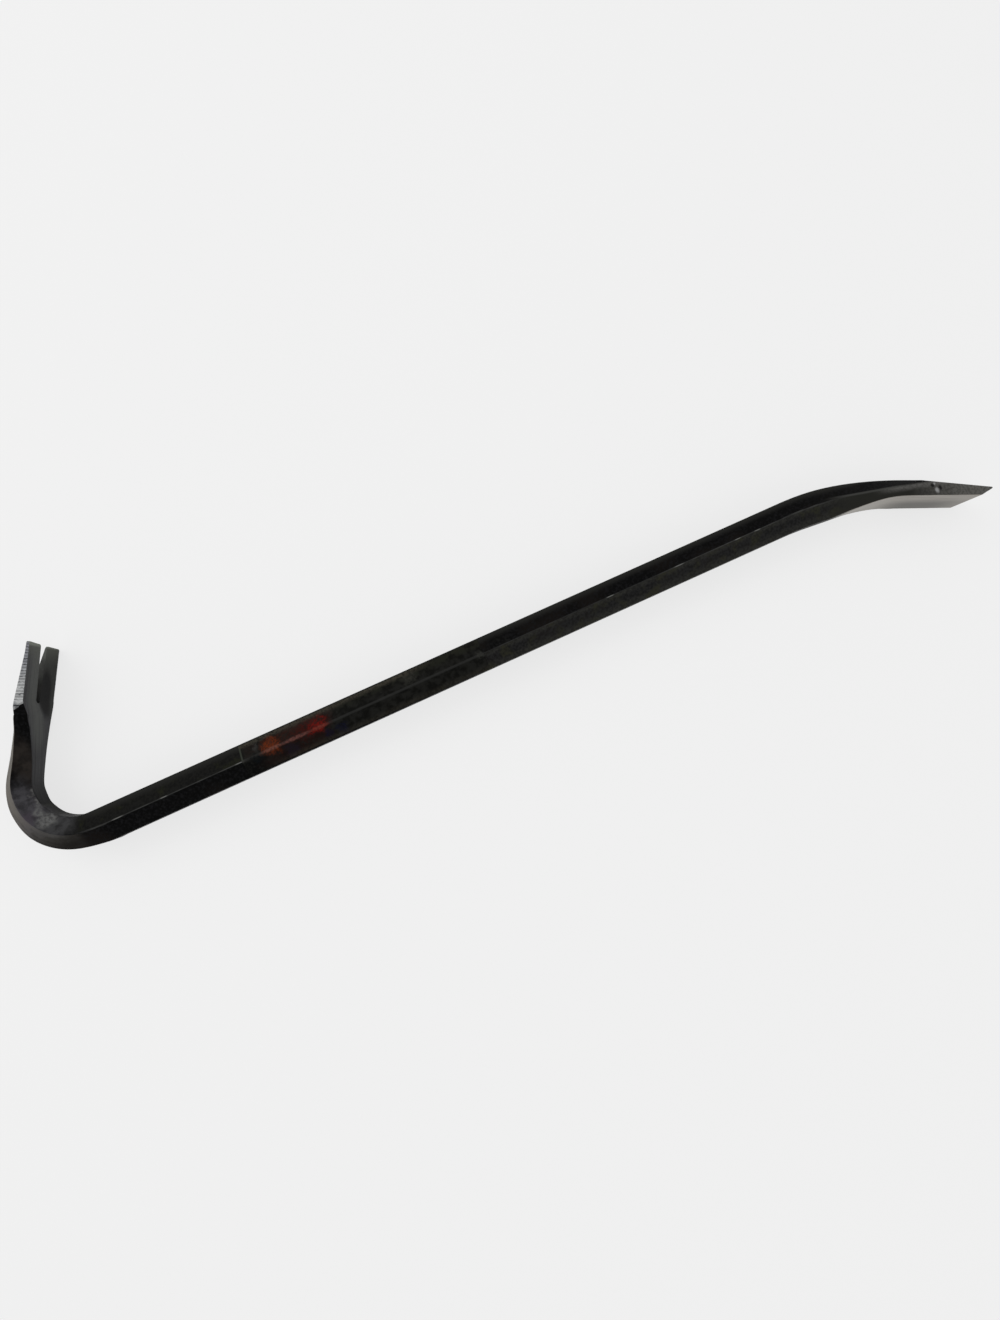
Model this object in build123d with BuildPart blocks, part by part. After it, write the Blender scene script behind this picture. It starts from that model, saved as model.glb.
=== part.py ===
"""Gooseneck wrecking bar: one forging from hexagon bar, and the film label on its shank.

The bar lies on its side.  Both bends and both blades lie in one flat plane, the
bend plane, which is level.  X runs along the shank from the hook to the chisel,
Y points across the shank to the open side of the hook, and Z is up.  Every
section of the bar is six-sided and symmetrical about the bend plane: an inner
flat, a ridge on each side, and an outer flat.  The bar is laid out with the end
of the hook's bend at X 0 and the middle of the shank at Y 0, Z 0, and set down
at the end with its origin under the middle of its box.
"""
import os
from collections import namedtuple
from math import cos, radians, sin, tan

from build123d import *

# ---- bar stock --------------------------------------------------------------
bar_flats = 19.0             # hexagon bar, across flats
bar_corner = 0.9             # rolled corners of the bar
shank_length = 427.0         # straight bar between the two bends

# ---- hook: laid out from its inside face ------------------------------------
hook_radius = 20.0           # inside of the bend
hook_turn = 115.5            # degrees the bar turns through
hook_reach = 72.4            # inside face, from the end of the bend to the tips
drawn_thickness = 17.4       # the bar is drawn down to this as the bend starts
drawn_share = 0.15           # share of the bend before and after its start where that happens
neck_from = 0.35             # share of the bend where the bar starts to thin to the neck
neck_thickness = 13.8        # where the bend ends
neck_flat = 12.0             # width of the inside flat there
neck_ridge = 8.7             # depth of the ridges there
neck_ridge_width = 22.3      # across the ridges there
neck_flare = 2.0             # power: the neck widens late, close to the claw

# ---- claw -------------------------------------------------------------------
claw_width = 31.2            # across the sheared sides
claw_edge = 34.0             # length of a sheared side, back from the tips
claw_root = 7.1              # thickness at the middle where the sheared side has its full depth
claw_side = 4.3              # thickness of the sheared side there
claw_tip = 1.6               # thickness at the tips
claw_tip_side = 0.9          # thickness of the sheared side at the tips
claw_set = 2.5               # the inside face lies this far below the neck's there
tip_set = 1.0                # and at the tips
claw_hollow = 0.9            # the inside face is dished this deep at the tips
claw_corner = 0.35
root_thickness = 9.3         # where the neck runs into the claw
root_flat = 24.4             # width of the inside flat there
root_ridge = 6.3             # depth of the ridges there
root_back = 15.0             # width of the flat on the back there
root_length = 4.2            # from there to the sheared side
shear_flash = 0.5            # cut from each side
shear_step = 1.4             # the ridges run out this far inside a sheared side
shear_slant = 3.6            # a sheared side starts this much nearer the tips at the inside face
shear_marks = 10             # shallow hollows left across the upper sheared side, from the tips back
shear_pitch = 3.1
shear_hollow = 2.7           # width of the deepest
shear_mark_depth = 0.3
shear_vary = 0.07            # the next two are shallower by once and twice this
tip_slant = 3.5              # degrees, the tips are not quite square
tip_round = 1.2              # corners of the two tips
slot_mouth = 6.4             # nail slot, width at the tips
slot_depth = 32.0            # from the tips to the bottom of the slot
slot_root = 1.8              # radius of its rounded bottom
slot_draft = 2.0             # degrees, the slot narrows towards the back
slot_lean = 0.9              # its mouth is off the claw's middle, towards the lower side

# ---- chisel: laid out from its upper, convex face ---------------------------
chisel_radius = 148.0        # upper face of the bend
chisel_turn = 28.6           # degrees the bar turns through
chisel_reach = 52.3          # upper face, from the end of the bend to the edge
chisel_width = 28.4
chisel_heel = 10.3           # thickness where the bend ends
chisel_end = 4.9             # thickness at the edge, before grinding
chisel_bevel = 0.5           # narrow slope where the ridges run out, at the blade's upper edges
chisel_corner = 0.4
thin_from = 0.25             # share of the bend where the bar starts to thin
spread_from = 0.45           # share where its flats start to spread
swell_from = 0.5             # share where its ridges start to move apart
rise_from = 0.74             # share where its ridges start to rise to the upper face
wide_from = 0.87             # share where its lower corners reach the chisel's width
ridge_end = 9.0              # past the bend, where the ridges run out
grind_length = 6.4           # ground bevel, back from the edge
grind_land = 0.9             # thickness left at the edge

# ---- label ------------------------------------------------------------------
label_length = 143.5
label_start = 86.8           # from the end of the hook's bend
label_film = 0.15
label_margin = 0.6           # face left bare beside the flats

# ---- worked out -------------------------------------------------------------
flat = bar_flats / 2
ridge = flat / cos(radians(30))
side = ridge / 2             # half of one face of the hexagon
claw = claw_width / 2
blade = chisel_width / 2
blade_taper = (chisel_heel - chisel_end) / chisel_reach
shoulder_run = hook_reach - claw_edge
root_run = shoulder_run - root_length
over = 2.0                   # a cut runs past the metal by this much

# ---- sections ---------------------------------------------------------------
# Depths are measured from the plane's origin, half widths from the bend plane.
Section = namedtuple("Section", "top inner hollow ridge_depth ridge depth outer corner")
LATE = ("top", "inner", "hollow", "ridge", "outer")
stock = Section(0, side, 0, flat, ridge, bar_flats, side, bar_corner)


def between(a, b, share, late=None):
    """Section between two others; late is the share for the sizes that change late in a flare."""
    shares = [share if late is None or name not in LATE else late for name in Section._fields]
    return Section(*(p + (q - p) * s for p, q, s in zip(a, b, shares)))


def bar_section(plane, s):
    """Six-sided face; X of the plane points down through the bar from the inner flat."""
    with BuildSketch(plane) as sketch:
        with BuildLine():
            Polyline(
                (s.top, s.inner),
                (s.top + s.ridge_depth, s.ridge),
                (s.top + s.depth, s.outer),
                (s.top + s.depth, -s.outer),
                (s.top + s.ridge_depth, -s.ridge),
                (s.top, -s.inner),
            )
            if s.hollow:
                ThreePointArc((s.top, -s.inner), (s.top + s.hollow, 0), (s.top, s.inner))
            else:
                Line((s.top, -s.inner), (s.top, s.inner))
        make_face()
        fillet(sketch.vertices(), s.corner)
    return sketch.sketch


def hexagon(flats, corner):
    """The stock's hexagon with a ridge at the top, for what is wrapped round it."""
    with BuildSketch() as sketch:
        RegularPolygon(flats / 2, 6, major_radius=False, rotation=30)
        fillet(sketch.vertices(), corner)
    return sketch.sketch


def hook_plane(turn, run=0.0):
    """Plane across the hook at its inside face, turn degrees round the bend and run past it."""
    out = Vector(-sin(radians(turn)), -cos(radians(turn)), 0)
    along = Vector(-cos(radians(turn)), sin(radians(turn)), 0)
    centre = Vector(0, flat + hook_radius, 0)
    return Plane(centre + out * hook_radius + along * run, x_dir=out, z_dir=-along)


def chisel_plane(turn, run=0.0):
    """Plane across the chisel at its upper face, turn degrees round the bend and run past it."""
    down = Vector(-sin(radians(turn)), -cos(radians(turn)), 0)
    along = Vector(cos(radians(turn)), -sin(radians(turn)), 0)
    centre = Vector(shank_length, flat - chisel_radius, 0)
    return Plane(centre - down * chisel_radius + along * run, x_dir=down, z_dir=along)


def progress(x, start, end):
    """How far x has come from start to end, from 0 to 1."""
    return min(max((x - start) / (end - start), 0.0), 1.0)


def ease(u, settle):
    """Share of a change that starts gently; it ends steeply with settle 0 and gently with 2."""
    return u * u * (1 + settle * (1 - u))


# ---- gooseneck: the bend thins to the neck, and the neck flares into the claw -
neck = Section(
    0, neck_flat / 2, 0, neck_ridge, neck_ridge_width / 2, neck_thickness, side, bar_corner
)
full = Section(
    claw_set, claw + shear_flash, claw_hollow / 2,
    claw_side, claw + shear_flash, claw_root, root_back / 2, claw_corner,
)
root = Section(
    claw_set - shear_step, root_flat / 2, 0,
    root_ridge, claw - shear_step, root_thickness, root_back / 2, bar_corner,
)
drawn = stock._replace(ridge_depth=drawn_thickness / 2, depth=drawn_thickness)
bend_steps = 7
neck_steps = 5
gooseneck = [bar_section(hook_plane(0, -run), stock) for run in (2 * side, side)]
for step in range(bend_steps + 1):
    share = step / bend_steps
    drawing = between(stock, drawn, progress(share, -drawn_share, drawn_share))
    thinned = between(drawing, neck, ease(progress(share, neck_from, 1), 1))
    gooseneck.append(bar_section(hook_plane(hook_turn * share), thinned))
for step in range(1, neck_steps + 1):
    share = step / neck_steps
    flared = between(neck, root, share, share ** neck_flare)
    gooseneck.append(bar_section(hook_plane(hook_turn, root_run * share), flared))

# ---- claw: a wedge, forged wider than its sheared sides ----------------------
shoulder = between(root, full, root_length / (root_length + shear_slant))
shoulder = shoulder._replace(ridge=claw + shear_flash, corner=claw_corner)
tips = Section(
    tip_set, claw + shear_flash, claw_hollow,
    claw_tip_side, claw + shear_flash, claw_tip, claw, claw_corner,
)
tip_plane = hook_plane(hook_turn, hook_reach)
past_tips = 1 + over / (claw_edge - shear_slant)
wedge = [
    bar_section(hook_plane(hook_turn, root_run), root),
    bar_section(hook_plane(hook_turn, shoulder_run), shoulder),
    bar_section(hook_plane(hook_turn, shoulder_run + shear_slant), full),
    bar_section(hook_plane(hook_turn, hook_reach + over), between(full, tips, past_tips)),
]
claw_face = Plane(tip_plane.origin, x_dir=(0, 0, 1), z_dir=tip_plane.x_dir)
side_plane = Plane(tip_plane.origin, x_dir=tip_plane.z_dir, z_dir=tip_plane.x_dir)
mark_radius = (shear_hollow ** 2 / 4 + shear_mark_depth ** 2) / (2 * shear_mark_depth)
upper_mouth = slot_mouth / 2 - slot_lean
lower_mouth = -slot_mouth / 2 - slot_lean


def on_tips(x, past=0.0):
    """Point x across the claw on the slanted line of its tips, or past it."""
    return (round(x, 6), round(x * tan(radians(tip_slant)) + past, 6))


# ---- chisel: the bend thins and spreads, and its ridges run out at the top ---
bend_length = chisel_radius * radians(chisel_turn)
bend_end = 1 + ridge_end / bend_length


def chisel_section(x):
    """Section of the chisel's bend; x is 0 where the bend starts and 1 where it ends."""
    depth = bar_flats - (bar_flats - chisel_heel) * ease(progress(x, thin_from, 1), 1.2)
    depth -= max(x - 1, 0) * bend_length * blade_taper
    spread = ease(progress(x, spread_from, bend_end), 0)
    rise = ease(progress(x, rise_from, bend_end), 0)
    return Section(
        top=0,
        inner=side + (blade - chisel_bevel - side) * spread,
        hollow=0,
        ridge_depth=depth / 2 * (1 - rise) + 2 * chisel_bevel * rise,
        ridge=ridge + (blade - ridge) * ease(progress(x, swell_from, 1), 2),
        depth=depth,
        outer=side + (blade - side) * ease(progress(x, spread_from, wide_from), 2),
        corner=bar_corner + (chisel_corner - bar_corner) * progress(x, swell_from, 1),
    )


bent = [bar_section(chisel_plane(0, -run), stock) for run in (2 * side, side, 0)]
for x in (thin_from, spread_from, 0.6, rise_from, wide_from, 1):
    bent.append(bar_section(chisel_plane(chisel_turn * x), chisel_section(x)))
run_out = chisel_section(bend_end)
run_out_plane = chisel_plane(chisel_turn, ridge_end)
bent.append(bar_section(run_out_plane, run_out))
edge_plane = chisel_plane(chisel_turn, chisel_reach)
straight = [
    bar_section(run_out_plane, run_out),
    bar_section(edge_plane, run_out._replace(depth=chisel_end)),
]
grind_plane = Plane(edge_plane.origin, x_dir=edge_plane.z_dir, z_dir=(0, 0, 1))
grind_heel = chisel_end + grind_length * blade_taper

with BuildPart() as bar:
    # straight shank, then the forged ends
    extrude(bar_section(hook_plane(0, -2 * side), stock), amount=shank_length - 4 * side)
    loft(gooseneck)
    loft(wedge, ruled=True)
    loft(bent)
    loft(straight, ruled=True)
    # claw cut to length, with the nail slot between its two tips
    with BuildSketch(claw_face) as cut:
        with BuildLine():
            prongs = Polyline(
                (slot_root, slot_root - slot_depth),
                on_tips(upper_mouth),
                on_tips(claw),
                on_tips(claw, -2 * tip_round),
                on_tips(claw + over, -2 * tip_round),
                on_tips(claw + over, 2 * over),
                on_tips(-claw - over, 2 * over),
                on_tips(-claw - over, -2 * tip_round),
                on_tips(-claw, -2 * tip_round),
                on_tips(-claw),
                on_tips(lower_mouth),
                (-slot_root, slot_root - slot_depth),
            )
            ThreePointArc(prongs @ 1, (0, -slot_depth), prongs @ 0)
        make_face()
        corners = [on_tips(x) for x in (claw, upper_mouth, lower_mouth, -claw)]
        fillet([v for v in cut.vertices() if (round(v.X, 6), round(v.Y, 6)) in corners], tip_round)
    extrude(amount=claw_set + claw_root + over, taper=slot_draft, mode=Mode.SUBTRACT)
    # flash sheared off the claw's sides, in bites that show across the upper one
    split(bisect_by=Plane.XY.offset(claw), keep=Keep.BOTTOM)
    split(bisect_by=Plane.XY.offset(-claw), keep=Keep.TOP)
    with BuildSketch(side_plane):
        for mark in range(shear_marks):
            lift = mark_radius - shear_mark_depth + shear_vary * (mark % 3)
            with Locations((shear_pitch * (mark + 0.5), claw + lift)):
                Circle(mark_radius)
    extrude(amount=claw_set + claw_root + over, mode=Mode.SUBTRACT)
    # bevel ground under the chisel's edge
    with BuildSketch(grind_plane):
        with BuildLine():
            Polyline(
                (0, -grind_land),
                (over, -grind_land),
                (over, -grind_heel - over),
                (-grind_length, -grind_heel - over),
                (-grind_length, -grind_heel),
                close=True,
            )
        make_face()
    extrude(amount=blade + over, both=True, mode=Mode.SUBTRACT)

# ---- label: film folded over the upper ridge, on the two faces beside it -----
with BuildPart() as label:
    with BuildSketch(Plane.YZ.offset(label_start)):
        add(hexagon(bar_flats + 2 * label_film, bar_corner + label_film))
        add(hexagon(bar_flats, bar_corner), mode=Mode.SUBTRACT)
        with Locations((0, side + label_margin)):
            Rectangle(2 * bar_flats, bar_flats, align=(Align.CENTER, Align.MIN), mode=Mode.INTERSECT)
    extrude(amount=label_length)

# ---- set down on the lower side of the claw, the origin under the middle -----
box = bar.part.bounding_box()
seat = Location((-box.center().X, -box.center().Y, -box.min.Z))
bar.part.label = "bar"
label.part.label = "label"
os.makedirs("parts", exist_ok=True)
for piece in (bar.part, label.part):
    piece.locate(seat)
    export_step(piece, f"parts/{piece.label}.step")
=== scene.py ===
"""Gooseneck wrecking bar: finishes, floor, light and camera round the fixed CAD parts.

Two pieces show, the forged steel bar and the film label on its shank.  Both keep their CAD
meshes, and every finish is worked out from the place on the piece: X along the shank from
the hook to the chisel, Y to the open side of the hook, Z up.  Upper and lower mean toward
that open side and away from it, near and far mean up along Z and down to the floor.  Places
and lengths on the pieces are written in millimetres, and MM turns them to metres; those of
the lamps and the floor are in metres.
"""
from functools import partial
from math import cos, radians, sin
from types import SimpleNamespace

import bpy
from mathutils import Euler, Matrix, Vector


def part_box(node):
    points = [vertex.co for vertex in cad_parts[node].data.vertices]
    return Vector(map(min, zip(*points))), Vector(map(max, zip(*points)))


MM = 0.001
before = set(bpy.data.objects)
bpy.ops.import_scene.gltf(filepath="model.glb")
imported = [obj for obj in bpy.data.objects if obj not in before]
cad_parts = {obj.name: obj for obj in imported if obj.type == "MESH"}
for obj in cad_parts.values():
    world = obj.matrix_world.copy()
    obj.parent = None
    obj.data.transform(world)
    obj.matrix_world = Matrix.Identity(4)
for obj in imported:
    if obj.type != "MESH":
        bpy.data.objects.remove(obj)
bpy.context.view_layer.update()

# ---- places on the bar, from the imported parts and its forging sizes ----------
bar_low, bar_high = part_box("bar")
label_low, label_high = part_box("label")
bend_plane = (bar_low.z + bar_high.z) / 2     # level plane that both bends lie in
shank_axis = (label_low.y + label_high.y) / 2
claw_half = (bar_high.z - bar_low.z) / 2      # from the bend plane to the claw's sheared sides
hook_turn = radians(115.5)                    # the claw's direction, turned from the shank's
# the middle of its bend, from the label's left end and the shank's axis
hook_centre = (label_low.x - 86.8 * MM, shank_axis + 29.5 * MM, bend_plane)
hook_reach = 72.4 * MM                        # from the end of the bend to the tips
hook_side = -225 * MM                         # the whole hook lies to the left of this X
shear_pitch = 3.1 * MM                        # from one hollow of the sheared side to the next
chisel_turn = radians(28.6)
side_line_foot = (219.5 * MM, -41.1 * MM, 0)  # on the line where the chisel's bare side begins
side_line_turn = radians(14.8)                # how far that line turns from the shank

# directions in the bend plane: along the claw to its tips, in through its inner face, down
# through the chisel, and down from the line on the chisel's side
claw_along = (-cos(hook_turn), sin(hook_turn), 0)
claw_in = (sin(hook_turn), cos(hook_turn), 0)
chisel_down = (-sin(chisel_turn), -cos(chisel_turn), 0)
side_down = (-sin(side_line_turn), -cos(side_line_turn), 0)

# settings and sockets shared by many nodes
TIMES = {"operation": "MULTIPLY"}
MINUS = {"operation": "SUBTRACT"}
TIMES_PLUS = {"operation": "MULTIPLY_ADD"}
HIGHEST = {"operation": "MAXIMUM"}
UNSIGNED = {"operation": "ABSOLUTE"}
DOT = {"operation": "DOT_PRODUCT"}
SOFTLY = {"interpolation_type": "SMOOTHSTEP"}
COLOURS = {"data_type": "RGBA"}
UNDER, OVER, BLEND = 6, 7, 2                  # a Mix node's colour inputs and its colour output
WIDE = 300                                    # radius in mm that takes in the whole section
PALE_GREY = "#f0f0f0"                         # of the floor and of what lies beyond it


# ---- small tools ------------------------------------------------------------
def linear(code):
    """Linear colour of an sRGB hex code."""
    channels = [int(code[i:i + 2], 16) / 255 for i in (1, 3, 5)]
    return tuple(c / 12.92 if c <= 0.04045 else ((c + 0.055) / 1.055) ** 2.4
                 for c in channels) + (1.0,)


def add(tree, kind, settings=None, inputs=None, out=0):
    """Adds a shader node with its settings and links, and gives one of its outputs."""
    node = tree.nodes.new("ShaderNode" + kind)
    for name, value in (settings or {}).items():
        setattr(node, name, value)
    for name, value in (inputs or {}).items():
        if isinstance(value, bpy.types.NodeSocket):
            tree.links.new(value, node.inputs[name])
        else:
            node.inputs[name].default_value = value
    return node.outputs[out] if len(node.outputs) else node


def finish(name, settings):
    """New material with one Principled shader; settings are the shader's constant sockets."""
    material = bpy.data.materials.new(name)
    material.use_nodes = True
    tree = material.node_tree
    tree.nodes.clear()
    surface = add(tree, "BsdfPrincipled", {}, settings)
    add(tree, "OutputMaterial", {}, {"Surface": surface})
    return material, tree, surface.node


def rubbed_places(tree, place, places, core=0.3):
    """Share that is 1 in the cores of soft ovals and falls to 0 at their rims.

    Each oval has a middle and radii in mm, and its core is the given part of its radii.
    """
    total = 0.0
    for middle, radii in places:
        offset = add(tree, "VectorMath", MINUS, {0: place, 1: [m * MM for m in middle]})
        scaled = add(tree, "VectorMath", TIMES, {0: offset, 1: [1 / (r * MM) for r in radii]})
        far = add(tree, "VectorMath", {"operation": "LENGTH"}, {0: scaled}, "Value")
        near = add(tree, "MapRange", SOFTLY, {"Value": far, "From Min": 1.0, "From Max": core})
        total = add(tree, "Math", HIGHEST, {0: near, 1: total})
    return total


# ---- the forged bar ---------------------------------------------------------
def bar_fields(tree):
    """Places, facings and patterns that the bar's wear and its painted light and shade are worked
    out from.

    height is the way up from the bend plane, aside the same without its sign, and run the way
    along the claw from the end of the hook's bend.  The facings are cosines: level is that of
    the angle to the vertical, inward to the claw's inner side, outward to the way out from
    the hook's middle, and beneath to the way down through the chisel.
    """
    node = partial(add, tree)
    place = node("TexCoord", out="Object")
    facing = node("TexCoord", out="Normal")
    x, y, z = node("SeparateXYZ", {}, {0: place}).node.outputs
    face_y, face_z = node("SeparateXYZ", {}, {0: facing}).node.outputs[1:]
    height = node("Math", MINUS, {0: z, 1: bend_plane})
    from_centre = node("VectorMath", MINUS, {0: place, 1: hook_centre})
    by_hook = node("Math", {"operation": "LESS_THAN"}, {0: x, 1: hook_side})
    run = node("VectorMath", DOT, {0: from_centre, 1: claw_along}, "Value")
    run = node("Math", TIMES, {0: run, 1: by_hook})
    past_end = node("VectorMath", {"operation": "SCALE"}, {
        0: claw_along, "Scale": node("Math", HIGHEST, {0: run, 1: 0.0})})
    outwards = node("VectorMath", MINUS, {0: from_centre, 1: past_end})
    outwards = node("VectorMath", TIMES, {0: outwards, 1: (1, 1, 0)})
    outwards = node("VectorMath", {"operation": "NORMALIZE"}, {0: outwards})

    # scale of the forging 1.4 mm, mottle 4 mm, blotches 8 mm and patches 30 mm across
    grain, mottle, blotch, patch = (
        node("TexNoise", {}, {
            "Vector": place, "Scale": 1 / size, "Detail": detail, "Roughness": rough})
        for size, detail, rough in (
            (1.4 * MM, 4.0, 0.6), (4 * MM, 3.0, 0.6), (8 * MM, 3.0, 0.5), (30 * MM, 1.0, 0.5)))
    # streaks of the drawing out, 25 mm long in the bend plane and 0.9 mm wide across it
    drawn = node("VectorMath", TIMES, {
        0: place, 1: (1 / (25 * MM), 1 / (25 * MM), 1 / (0.9 * MM))})
    streaks = node("TexNoise", {}, {
        "Vector": drawn, "Scale": 1.0, "Detail": 2.0, "Roughness": 0.5})
    # places that stray a few millimetres, for wear with a ragged edge
    stray = node("TexNoise", {}, {"Vector": place, "Scale": 1 / (5 * MM), "Detail": 3.0}, 1)
    stray = node("VectorMath", MINUS, {0: stray, 1: (0.5, 0.5, 0.5)})

    return SimpleNamespace(
        place=place, x=x, y=y, height=height, run=run, by_hook=by_hook, face_y=face_y,
        aside=node("Math", UNSIGNED, {0: height}),
        level=node("Math", UNSIGNED, {0: face_z}),
        inward=node("VectorMath", DOT, {0: facing, 1: claw_in}, "Value"),
        outward=node("VectorMath", DOT, {0: facing, 1: outwards}, "Value"),
        beneath=node("VectorMath", DOT, {0: facing, 1: chisel_down}, "Value"),
        on_shank=node("MapRange", SOFTLY, {
            "Value": x, "From Min": -266 * MM, "From Max": -248 * MM}),
        past_bend=node("Math", HIGHEST, {
            0: node("MapRange", SOFTLY, {
                "Value": x, "From Min": -256 * MM, "From Max": -262 * MM}),
            1: node("MapRange", SOFTLY, {"Value": run, "From Min": 0.0, "From Max": 8 * MM})}),
        grain=grain, mottle=mottle, blotch=blotch, patch=patch, streaks=streaks,
        chipped=node("VectorMath", TIMES_PLUS, {0: stray, 1: [3 * MM] * 3, 2: place}),
        ragged=node("VectorMath", TIMES_PLUS, {0: stray, 1: [7 * MM] * 3, 2: from_centre}))


def shank_wear_and_painted_light(tree, at):
    """Layers on the lacquer: brown scale, grey flecks, dust with painted light, scuffs with a
    painted sheen and an olive film.
    """
    node = partial(add, tree)
    scuff = node("MapRange", SOFTLY, {
        "Value": at.grain, "From Min": 0.38, "From Max": 0.62, "To Min": 0.35, "To Max": 1.0})

    # dust on the upper faces of the hook's half, with painted light: they are paler toward the
    # hook, where the key lamp's light falls
    faces_up = node("MapRange", SOFTLY, {
        "Value": at.face_y, "From Min": 0.25, "From Max": 0.42})
    to_left = node("MapRange", SOFTLY, {
        "Value": at.x, "From Min": 20 * MM, "From Max": -110 * MM})
    dust_and_painted_light = node("Math", TIMES, {0: faces_up, 1: to_left})
    dust_and_painted_light = node("Math", TIMES, {0: dust_and_painted_light, 1: scuff})
    olive_dust = node("Math", TIMES, {0: dust_and_painted_light, 1: node("MapRange", SOFTLY, {
        "Value": at.blotch, "From Min": 0.52, "From Max": 0.68})})

    # scuffs on the lower faces of the chisel's half, most along their edges, with a painted
    # sheen: they are paler toward the chisel, where they reflect the light
    faces_down = node("MapRange", SOFTLY, {
        "Value": at.face_y, "From Min": -0.25, "From Max": -0.42})
    to_right = node("MapRange", SOFTLY, {
        "Value": at.x, "From Min": -120 * MM, "From Max": 0.0})
    scuffed = node("Math", TIMES, {0: faces_down, 1: to_right})
    scuffed = node("Math", TIMES, {0: scuffed, 1: scuff})
    by_edges = node("Math", TIMES, {0: scuffed, 1: node("Math", HIGHEST, {
        0: node("MapRange", SOFTLY, {
            "Value": at.aside, "From Min": 8.2 * MM, "From Max": 6.0 * MM}),
        1: node("MapRange", SOFTLY, {
            "Value": at.aside, "From Min": 9.2 * MM, "From Max": 10.4 * MM})})})
    olive_film = node("Math", TIMES, {0: scuffed, 1: node("MapRange", SOFTLY, {
        "Value": at.blotch, "From Min": 0.5, "From Max": 0.68})})

    # upper faces a little paler toward their outer edge
    outer_edge = node("Math", TIMES, {
        0: node("Math", TIMES, {0: faces_up, 1: at.on_shank}),
        1: node("MapRange", SOFTLY, {
            "Value": at.aside, "From Min": 8.2 * MM, "From Max": 5.8 * MM})})

    brown = node("MapRange", SOFTLY, {"Value": at.patch, "From Min": 0.5, "From Max": 0.66})
    flecks = node("MapRange", SOFTLY, {"Value": at.grain, "From Min": 0.45, "From Max": 0.65})
    return [("#0e0b09", brown), ("#101011", flecks), ("#141412", dust_and_painted_light),
            ("#191a10", olive_dust), ("#1e1e1e", scuffed), ("#282825", by_edges),
            ("#25251b", olive_film), ("#20201e", outer_edge)]


def hook_patches(tree, at):
    """Layers on the bend of the hook: soft patches of worn lacquer, placed from its middle."""
    node = partial(add, tree)
    on_hook = node("Math", TIMES, {0: at.past_bend, 1: node("MapRange", SOFTLY, {
        "Value": at.inward, "From Min": 0.75, "From Max": 0.6})})
    mottled = node("MapRange", SOFTLY, {
        "Value": at.mottle, "From Min": 0.36, "From Max": 0.6, "To Min": 0.45, "To Max": 1.0})
    speckled = node("MapRange", SOFTLY, {
        "Value": at.grain, "From Min": 0.36, "From Max": 0.6, "To Min": 0.35, "To Max": 1.0})
    layers = []
    for code, broken_up, ovals in (
            ("#282421", mottled, [((-19, 25, 6), (11, 26, 10))]),
            ("#3f3e41", mottled, [((-26, -6, 7), (15, 22, 14))]),
            ("#3a353c", mottled, [((-27, -10, 7), (7, 8, 9))]),
            ("#363637", mottled, [((-14, -20, 7), (14, 10, 14))]),
            ("#9a9a96", speckled, [((-20.8, 1.6, 9.4), (3.4, 4.2, 5))]),
            ("#72726f", speckled, [((-19.4, -3.5, 9.4), (3.2, 4.4, 5))]),
            ("#5a5a59", speckled, [((-19.8, -9.8, 9.4), (4.4, 5.4, 5)),
                                   ((-18.0, -15.0, 8.6), (7.5, 5, 6))])):
        share = node("Math", TIMES, {0: on_hook, 1: rubbed_places(tree, at.ragged, ovals)})
        layers.append((code, node("Math", TIMES, {0: share, 1: broken_up})))
    return layers


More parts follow.
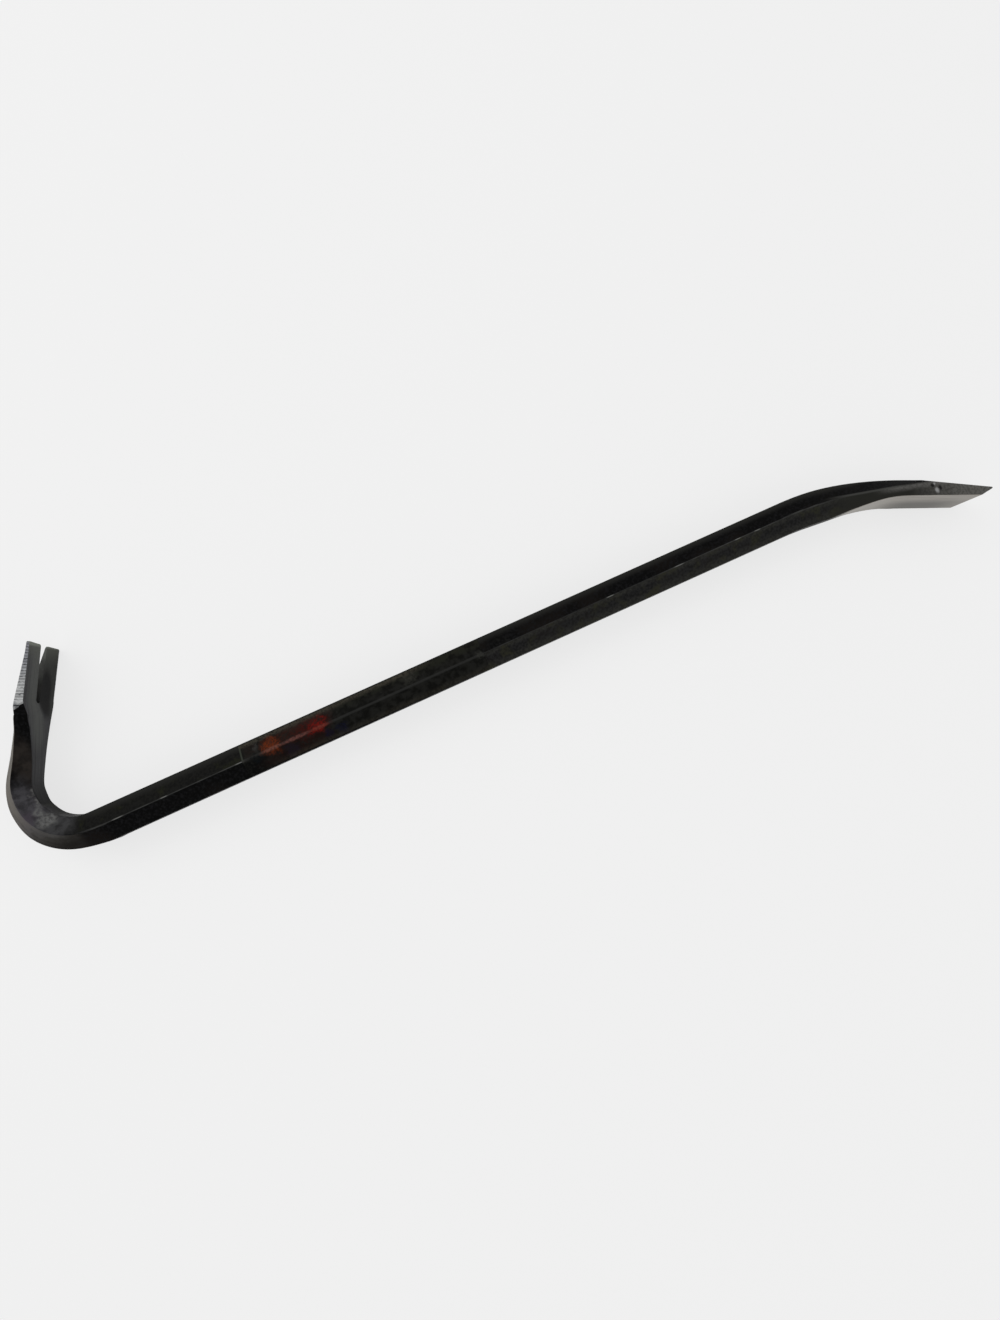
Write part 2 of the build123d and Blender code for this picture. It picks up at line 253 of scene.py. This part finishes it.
def claw_wear_and_painted_light(tree, at):
    """Layers on the neck and claw, which the lacquer has left grey.

    The inner faces carry a painted reflection beside the slot on the near prong, and painted
    shade on the far one, darkest in its hollow.  The tips are worn bright, and the slot's walls
    carry painted shade but for its mouth.
    """
    node = partial(add, tree)
    inner = node("Math", TIMES, {
        0: node("MapRange", SOFTLY, {"Value": at.inward, "From Min": 0.6, "From Max": 0.85}),
        1: node("MapRange", SOFTLY, {
            "Value": at.run, "From Min": -22 * MM, "From Max": 6 * MM})})
    inner = node("Math", TIMES, {0: inner, 1: at.by_hook})
    streaky = node("MapRange", SOFTLY, {
        "Value": at.streaks, "From Min": 0.25, "From Max": 0.65, "To Min": 0.6, "To Max": 1.0})
    inner_grey = node("Math", TIMES, {0: inner, 1: streaky})

    # ovals on the claw's face: way along it and height from the bend plane
    on_claw = node("CombineXYZ", {}, {0: at.run, 1: at.height, 2: 0.0})
    # painted reflection beside the slot on the near prong; painted shade on the far prong,
    # darkest in its hollow
    slot_side_reflection = node("Math", TIMES, {0: inner_grey, 1: rubbed_places(tree, on_claw, [
        ((52, 4, 0), (40, 9, 9)), ((28, 2, 0), (18, 8, 9))])})
    far_prong_shade = node("Math", TIMES, {0: inner, 1: rubbed_places(tree, on_claw, [
        ((56, -11, 0), (26, 11, 9))], 0.7)})
    claw_hollow_shade = node("Math", TIMES, {0: inner, 1: rubbed_places(tree, on_claw, [
        ((46, -6, 0), (17, 7.5, 9))], 0.55)})

    tips_worn = node("Math", TIMES, {0: inner, 1: node("MapRange", SOFTLY, {
        "Value": at.run, "From Min": 60 * MM, "From Max": 74 * MM, "To Max": 0.6})})
    tip_ends = node("MapRange", SOFTLY, {
        "Value": at.run, "From Min": 70.6 * MM, "From Max": 72.2 * MM})
    # painted shade on the slot's walls, lighter again toward its mouth
    slot_wall_shade = node("Math", TIMES, {
        0: node("MapRange", SOFTLY, {
            "Value": at.aside, "From Min": 6.5 * MM, "From Max": 5.5 * MM}),
        1: node("MapRange", SOFTLY, {
            "Value": at.run, "From Min": 38 * MM, "From Max": 42 * MM})})
    slot_wall_shade = node("Math", TIMES, {0: slot_wall_shade, 1: node("MapRange", SOFTLY, {
        "Value": at.inward, "From Min": 0.7, "From Max": 0.4})})
    slot_mouth = node("Math", TIMES, {0: slot_wall_shade, 1: node("MapRange", SOFTLY, {
        "Value": at.run, "From Min": 50 * MM, "From Max": 64 * MM})})

    # the hook's and claw's outer face, rubbed pale where the bar rocks on it, and a painted
    # highlight that grows toward the hook's open side, where the light falls
    outer_rub_and_highlight = node("Math", TIMES, {
        0: node("MapRange", SOFTLY, {"Value": at.outward, "From Min": 0.3, "From Max": 0.48}),
        1: node("MapRange", {}, {
            "Value": at.y, "From Min": -38 * MM, "From Max": 4 * MM, "To Min": 0.06})})
    outer_rub_and_highlight = node("Math", TIMES, {0: outer_rub_and_highlight, 1: at.past_bend})
    outer_rub_and_highlight = node("Math", TIMES, {0: outer_rub_and_highlight, 1: streaky})
    outer_rub_and_highlight = node("Math", TIMES, {0: outer_rub_and_highlight, 1: node("MapRange", SOFTLY, {
        "Value": at.patch, "From Min": 0.35, "From Max": 0.55, "To Min": 0.7, "To Max": 1.0})})
    return [("#3f3f40", inner_grey), ("#4b4c4a", slot_side_reflection), ("#323331", far_prong_shade),
            ("#181818", claw_hollow_shade), ("#54564f", tips_worn), ("#6c6f68", tip_ends),
            ("#1b1b1a", slot_wall_shade), ("#646862", slot_mouth), ("#67635d", outer_rub_and_highlight)]


def ridge_wear_and_highlight(tree, at):
    """Layers on the ridges, rubbed thin and with a painted highlight, both on their rounded tops,
    which alone face straight up or down.
    """
    node = partial(add, tree)
    upright = node("MapRange", SOFTLY, {
        "Value": at.level, "From Min": 0.93, "From Max": 0.975})
    slim = node("MapRange", SOFTLY, {
        "Value": at.aside, "From Min": 11.9 * MM, "From Max": 11.4 * MM})
    on_ridge = node("Math", TIMES, {0: upright, 1: slim})
    on_ridge = node("Math", TIMES, {0: on_ridge, 1: at.on_shank})
    # rubbed lacquer and a painted highlight along the ridge tops
    rubbed = node("Math", TIMES, {0: on_ridge, 1: node("MapRange", SOFTLY, {
        "Value": at.blotch, "From Min": 0.35, "From Max": 0.65,
        "To Min": 0.55, "To Max": 1.0})})
    # the ridge line dimmer along the middle of the shank; only the way along it narrows these
    # ovals
    spared = rubbed_places(tree, at.place, [((20, -35, 15), (95, WIDE, WIDE))], 0.6)
    rubbed = node("Math", TIMES, {0: rubbed, 1: node("MapRange", {}, {
        "Value": spared, "To Min": 1.0, "To Max": 0.6})})
    nicks = node("Math", TIMES, {0: on_ridge, 1: rubbed_places(tree, at.place, [
        ((along, -35, 15), (long, WIDE, WIDE)) for along, long in (
            (-238, 4), (-212, 2.5), (-169, 3), (55, 3), (99, 4), (137, 2.5), (150, 2.5))])})
    return [("#363635", rubbed), ("#5a5a58", nicks)]


def chisel_wear_and_dent_shade(tree, at):
    """Layers on the chisel's sides, bare and dull below a line that climbs to its upper edge, and
    painted shade by a dent.
    """
    node = partial(add, tree)
    from_foot = node("VectorMath", MINUS, {0: at.place, 1: side_line_foot})
    below_line = node("VectorMath", DOT, {0: from_foot, 1: side_down}, "Value")
    side_faces = node("MapRange", SOFTLY, {
        "Value": at.level, "From Min": 0.6, "From Max": 0.85})
    below = node("Math", TIMES, {0: side_faces, 1: node("MapRange", SOFTLY, {
        "Value": below_line, "From Min": -0.8 * MM, "From Max": 1.0 * MM})})
    scuffed = node("Math", TIMES, {0: below, 1: node("MapRange", SOFTLY, {
        "Value": at.x, "From Min": 190 * MM, "From Max": 214 * MM})})
    line = node("Math", TIMES, {0: side_faces, 1: node("MapRange", SOFTLY, {
        "Value": node("Math", UNSIGNED, {0: below_line}),
        "From Min": 1.0 * MM, "From Max": 0.2 * MM})})
    line = node("Math", TIMES, {0: line, 1: rubbed_places(tree, at.place, [
        ((222, -42, 28), (30, 30, 30))])})
    top = node("Math", TIMES, {0: below, 1: node("MapRange", SOFTLY, {
        "Value": below_line, "From Min": 4.2 * MM, "From Max": 0.8 * MM})})
    top = node("Math", TIMES, {0: top, 1: node("Math", TIMES, {
        0: node("MapRange", SOFTLY, {
            "Value": at.x, "From Min": 221 * MM, "From Max": 238 * MM}),
        1: node("MapRange", SOFTLY, {
            "Value": at.grain, "From Min": 0.36, "From Max": 0.6,
            "To Min": 0.6, "To Max": 1.0})})})
    bare = node("Math", TIMES, {0: below, 1: node("MapRange", SOFTLY, {
        "Value": at.grain, "From Min": 0.36, "From Max": 0.62,
        "To Min": 0.55, "To Max": 1.15})})
    bare = node("Math", TIMES, {0: bare, 1: node("MapRange", {}, {
        "Value": at.x, "From Min": 241 * MM, "From Max": 276 * MM})})

    # one dent near the upper edge, bright on its raised lip, with painted shade beside it
    lip = node("Math", TIMES, {0: side_faces, 1: rubbed_places(tree, at.chipped, [
        ((257.6, -57.0, 29.8), (1.7, 2.4, 4)), ((257.4, -53.2, 29.8), (0.8, 0.9, 4))])})
    dent_painted_shade = node("Math", TIMES, {0: side_faces, 1: rubbed_places(tree, at.chipped, [
        ((256.0, -53.4, 29.8), (1.7, 1.7, 4)), ((259.9, -56.4, 29.8), (1.3, 2.0, 4))])})
    return [("#21211e", scuffed), ("#383836", line), ("#51504e", top), ("#545350", bare),
            ("#828282", lip), ("#1a1a19", dent_painted_shade)]


def bare_steel(tree, at):
    """Share and colour of bare steel: the claw's sheared sides and the chisel's ground face.

    The sheared sides carry dark steps across the cut, one to each hollow, as painted shade.
    The ground face is streaked by the wheel, with painted shade toward the floor in the middle
    of its far half.
    """
    node = partial(add, tree)
    sheared = node("MapRange", SOFTLY, {
        "Value": at.aside, "From Min": claw_half - 0.45 * MM, "From Max": claw_half - 0.36 * MM})
    from_tips = node("Math", MINUS, {0: hook_reach, 1: at.run})
    wander = node("Math", TIMES_PLUS, {0: at.grain, 1: 1.6 * MM, 2: from_tips})
    step = node("Math", {"operation": "PINGPONG"}, {0: wander, 1: shear_pitch / 2})
    shear_hollow_shade = node("Math", TIMES, {
        0: node("MapRange", SOFTLY, {
            "Value": step, "From Min": 0.6 * MM, "From Max": 0.15 * MM}),
        1: node("MapRange", SOFTLY, {
            "Value": at.blotch, "From Min": 0.35, "From Max": 0.6,
            "To Min": 0.4, "To Max": 0.9})})
    near_tips = node("MapRange", SOFTLY, {
        "Value": from_tips, "From Min": 26 * MM, "From Max": 6 * MM})
    dulled = node("MapRange", SOFTLY, {"Value": at.blotch, "From Min": 0.5, "From Max": 0.64})

    ground = node("Math", TIMES, {
        0: node("MapRange", SOFTLY, {"Value": at.beneath, "From Min": 0.55, "From Max": 0.8}),
        1: node("MapRange", SOFTLY, {
            "Value": at.x, "From Min": 196 * MM, "From Max": 212 * MM})})
    wheel_marks = node("Math", TIMES, {0: ground, 1: node("MapRange", SOFTLY, {
        "Value": at.streaks, "From Min": 0.45, "From Max": 0.7})})
    floorward_shade = node("Math", TIMES, {0: ground, 1: node("MapRange", SOFTLY, {
        "Value": at.height, "From Min": 9 * MM, "From Max": -5 * MM})})
    floorward_shade = node("Math", TIMES, {0: floorward_shade, 1: node("Math", TIMES, {
        0: node("MapRange", SOFTLY, {
            "Value": at.x, "From Min": 228 * MM, "From Max": 250 * MM}),
        1: node("MapRange", SOFTLY, {
            "Value": at.x, "From Min": 290 * MM, "From Max": 262 * MM, "To Min": 0.15})})})

    colour = linear("#8c8d8d")
    for code, share in (
            ("#5e5f61", dulled), ("#68696d", near_tips), ("#222224", shear_hollow_shade),
            ("#938e86", ground), ("#7a746c", wheel_marks), ("#504d46", floorward_shade)):
        colour = node("Mix", COLOURS, {0: share, UNDER: colour, OVER: linear(code)}, BLEND)
    return node("Math", HIGHEST, {0: sheared, 1: ground}), colour


def forged_bar():
    """Medium-carbon steel, drop forged, dipped in thin black lacquer over its scale and used.

    The lacquer looks near black with a weak gloss.  It is brown where scale shows through, and
    grey where the claw, the neck, the ridges and the chisel have rubbed on things; the claw's
    sheared sides and the ground face under the chisel are bare steel.  Painted light and shade
    lie over these: light on the upper faces toward the hook, a sheen on the lower faces toward
    the chisel, highlights on the ridges and on the hook's outer face, a reflection and shade on
    the claw's inner faces, and shade in the slot, in the sheared sides' hollows, beside a dent
    on the chisel and toward the floor on the ground face.
    """
    material, tree, shader = finish("black_lacquer_on_forged_steel", {
        "Specular IOR Level": 0.03})
    node = partial(add, tree)
    at = bar_fields(tree)
    colour = linear("#030303")
    for wear in (shank_wear_and_painted_light, hook_patches, claw_wear_and_painted_light, ridge_wear_and_highlight, chisel_wear_and_dent_shade):
        for code, share in wear(tree, at):
            colour = node("Mix", COLOURS, {
                0: share, UNDER: colour, OVER: linear(code)}, BLEND)

    bare, steel = bare_steel(tree, at)
    tree.links.new(node("Mix", COLOURS, {0: bare, UNDER: colour, OVER: steel}, BLEND),
                   shader.inputs["Base Color"])
    tree.links.new(bare, shader.inputs["Metallic"])
    on_lacquer = node("MapRange", {}, {"Value": at.grain, "To Min": 0.36, "To Max": 0.56})
    on_steel = 0.4
    tree.links.new(node("Mix", {"data_type": "FLOAT"}, {0: bare, 2: on_lacquer, 3: on_steel}),
                   shader.inputs["Roughness"])
    relief = node("Math", TIMES_PLUS, {0: at.streaks, 1: 0.5, 2: at.grain})
    tree.links.new(node("Bump", {}, {
        "Strength": 0.3, "Distance": 0.06 * MM, "Height": relief}), shader.inputs["Normal"])
    return material


# ---- the label --------------------------------------------------------------
def printed_film():
    """Thin printed polypropylene film, rubbed and scuffed.

    It looks dark with a faint bloom, and has plain soft coloured marks and no lettering.
    """
    material, tree, shader = finish("worn_printed_film", {"Specular IOR Level": 0.025})
    node = partial(add, tree)
    # places from the label's left end, and up and down from its ridge
    place = node("VectorMath", MINUS, {
        0: node("TexCoord", out="Object"), 1: (label_low.x, shank_axis, bend_plane)})
    along, up = node("SeparateXYZ", {}, {0: place}).node.outputs[:2]
    # places that stray a few millimetres, for marks with a ragged edge
    stray = node("TexNoise", {}, {
        "Vector": place, "Scale": 1 / (3.5 * MM), "Detail": 4.0, "Roughness": 0.65}, 1)
    stray = node("VectorMath", MINUS, {0: stray, 1: (0.5, 0.5, 0.5)})
    ragged = node("VectorMath", TIMES_PLUS, {0: stray, 1: [10 * MM] * 3, 2: place})
    # mottle 4 mm and flecks 1.2 mm across
    mottle = node("TexNoise", {}, {
        "Vector": place, "Scale": 1 / (4 * MM), "Detail": 4.0, "Roughness": 0.6})
    fleck = node("TexNoise", {}, {
        "Vector": place, "Scale": 1 / (1.2 * MM), "Detail": 3.0, "Roughness": 0.6})
    scuff = node("MapRange", SOFTLY, {
        "Value": fleck, "From Min": 0.35, "From Max": 0.6, "To Min": 0.25, "To Max": 1.0})

    # the right part has an olive-grey bloom on its upper face; the ridge is greyer all along, a
    # painted highlight on its rounded top
    dull = node("MapRange", SOFTLY, {"Value": mottle, "From Min": 0.4, "From Max": 0.62})
    bloom = node("Math", TIMES, {
        0: node("MapRange", SOFTLY, {
            "Value": along, "From Min": 52 * MM, "From Max": 60 * MM}),
        1: node("MapRange", SOFTLY, {
            "Value": up, "From Min": 3 * MM, "From Max": 6.5 * MM})})
    bloom = node("Math", TIMES, {0: bloom, 1: node("MapRange", SOFTLY, {
        "Value": mottle, "From Min": 0.38, "From Max": 0.6})})
    ridge = node("MapRange", SOFTLY, {
        "Value": node("Math", UNSIGNED, {0: up}),
        "From Min": 1.0 * MM, "From Max": 0.3 * MM, "To Max": 0.7})
    left_edge = node("Math", TIMES, {
        0: node("MapRange", SOFTLY, {
            "Value": along, "From Min": 1.2 * MM, "From Max": 0.6 * MM}),
        1: node("MapRange", SOFTLY, {
            "Value": up, "From Min": -1 * MM, "From Max": 1 * MM})})
    layers = [("#181816", dull), ("#1a1b15", bloom), ("#282827", ridge),
              ("#30332c", left_edge)]

    # printed marks rubbed to soft patches, then rubs along the ridge: colour, place along the
    # label and up from the ridge, and radii
    high, tall = 10, 40     # middles above the bend plane, and radii along Z past both edges
    marks = [(code, ragged, middle + (high,), radii + (tall,)) for code, middle, radii in (
        ("#1a1512", (6, 5), (6, 7)),
        ("#040404", (5, -6), (12, 7)),
        ("#080b0d", (8, -2), (5, 3.5)),
        ("#180c09", (30, -6), (27, 7)),
        ("#23120d", (29, 4), (11, 8)),
        ("#241f1b", (41, 7), (20, 4.5)),
        ("#151018", (27, -5), (6, 5)),
        ("#0c0d1b", (56, -5), (5, 4)),
        ("#100d1a", (48, -5), (3.5, 4)),
        ("#54220c", (17.3, 2), (8, 7)),
        ("#300d09", (41, 2.5), (15, 8)),
        ("#5a0f09", (44, 1.5), (7, 5)),
        ("#292826", (8.8, 5), (1.6, 5)),
        ("#282824", (100.3, 5), (6, 6)),
        ("#2c2c29", (141.8, 0.5), (3, 3)))]
    rubs = [(code, place, (middle, 0, high), (half, 1.5, tall)) for code, middle, half in (
        ("#5e3a30", 17.3, 8), ("#573631", 31, 12), ("#602a22", 45, 7), ("#333330", -1, 4))]
    for code, where, middle, radii in marks + rubs:
        spot = rubbed_places(tree, where, [(middle, radii)])
        layers.append((code, node("Math", TIMES, {0: spot, 1: scuff})))

    # the upper edge paler up to the last 35 mm, the lower edge faintly so
    upper_rim = node("Math", TIMES, {
        0: node("MapRange", SOFTLY, {
            "Value": up, "From Min": 5.6 * MM, "From Max": 8.2 * MM}),
        1: node("MapRange", SOFTLY, {
            "Value": along, "From Min": 118 * MM, "From Max": 98 * MM, "To Min": 0.1})})
    lower_rim = node("Math", TIMES, {
        0: node("MapRange", SOFTLY, {
            "Value": up, "From Min": -5.6 * MM, "From Max": -8.2 * MM, "To Max": 0.35}),
        1: node("MapRange", SOFTLY, {
            "Value": along, "From Min": 6 * MM, "From Max": 30 * MM})})
    rim = node("Math", HIGHEST, {0: upper_rim, 1: lower_rim})
    layers.append(("#36332c", node("Math", TIMES, {0: rim, 1: scuff})))

    colour = linear("#0b0b09")
    for code, share in layers:
        colour = node("Mix", COLOURS, {0: share, UNDER: colour, OVER: linear(code)}, BLEND)
    tree.links.new(colour, shader.inputs["Base Color"])
    tree.links.new(node("MapRange", {}, {"Value": mottle, "To Min": 0.35, "To Max": 0.55}),
                   shader.inputs["Roughness"])
    tree.links.new(node("Bump", {}, {
        "Strength": 0.2, "Distance": 0.03 * MM, "Height": fleck}), shader.inputs["Normal"])
    return material


for name, material in (("bar", forged_bar()), ("label", printed_film())):
    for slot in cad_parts[name].material_slots:
        slot.material = material


# ---- floor, light and camera ------------------------------------------------
def seen_by_lens(tree):
    """Share that is 1 for rays of the lens, of gloss and of glass, and 0 for lighting rays."""
    rays = add(tree, "LightPath").node.outputs
    seen = add(tree, "Math", HIGHEST, {0: rays["Is Camera Ray"], 1: rays["Is Glossy Ray"]})
    return add(tree, "Math", HIGHEST, {0: seen, 1: rays["Is Transmission Ray"]})


def floor():
    """Plain floor, a hair below the bar's lowest side, that looks paler than it is lit.

    Uncoated white paper: even, pale and without gloss.
    """
    half = 6.0                                # of its side, in metres
    level = bar_low.z - 0.05 * MM
    glow_share = 0.82                         # the rest is lit, and keeps the bar's shadow
    mesh = bpy.data.meshes.new("floor")
    corners = [(x, y, level) for x, y in (
        (-half, -half), (half, -half), (half, half), (-half, half))]
    mesh.from_pydata(corners, [], [(0, 1, 2, 3)])
    piece = bpy.data.objects.new("floor", mesh)
    bpy.context.scene.collection.objects.link(piece)
    material, tree, shader = finish("matt_white_paper", {
        "Base Color": linear(PALE_GREY), "Roughness": 0.9, "Specular IOR Level": 0.0})
    glow = add(tree, "Emission", {}, {"Color": linear(PALE_GREY), "Strength": 1.0})
    share = add(tree, "Math", TIMES, {0: seen_by_lens(tree), 1: glow_share})
    mixed = add(tree, "MixShader", {}, {0: share, 1: shader.outputs[0], 2: glow})
    tree.links.new(mixed, tree.get_output_node("ALL").inputs["Surface"])
    mesh.materials.append(material)


def lamp(name, place, size, power):
    """Square soft box that faces the middle of the bar; metres and watts."""
    light = bpy.data.lights.new(name, "AREA")
    light.shape = "SQUARE"
    light.size = size
    light.energy = power
    holder = bpy.data.objects.new(name, light)
    holder.location = place
    holder.rotation_euler = (-Vector(place)).to_track_quat("-Z", "Y").to_euler()
    bpy.context.scene.collection.objects.link(holder)


def surround():
    """Dim even light from all round, which the lens and the gloss see as the floor's grey."""
    world = bpy.data.worlds.new("surround")
    bpy.context.scene.world = world
    world.use_nodes = True
    tree = world.node_tree
    tree.nodes.clear()
    fill = add(tree, "Background", {}, {"Color": (1, 1, 1, 1), "Strength": 0.8})
    pale = add(tree, "Background", {}, {"Color": linear(PALE_GREY), "Strength": 1.0})
    mixed = add(tree, "MixShader", {}, {0: seen_by_lens(tree), 1: fill, 2: pale})
    add(tree, "OutputWorld", {}, {"Surface": mixed})


def camera():
    """Standing camera a little under half a metre above the bar, looking almost straight down."""
    lens = bpy.data.cameras.new("camera")
    lens.sensor_width = 36.0
    lens.lens = 20.4545
    lens.clip_start = 0.01
    holder = bpy.data.objects.new("camera", lens)
    holder.location = (-53.94 * MM, -58.98 * MM, 442.54 * MM)
    holder.rotation_euler = Euler((radians(4.194), radians(-3.652), radians(-24.544)))
    bpy.context.scene.collection.objects.link(holder)
    bpy.context.scene.camera = holder


floor()
lamp("key", (-0.9, 1.1, 1.3), 1.3, 11)
lamp("fill", (0.9, -1.3, 0.9), 1.2, 3)
surround()
camera()
bpy.context.scene.view_settings.view_transform = "Standard"
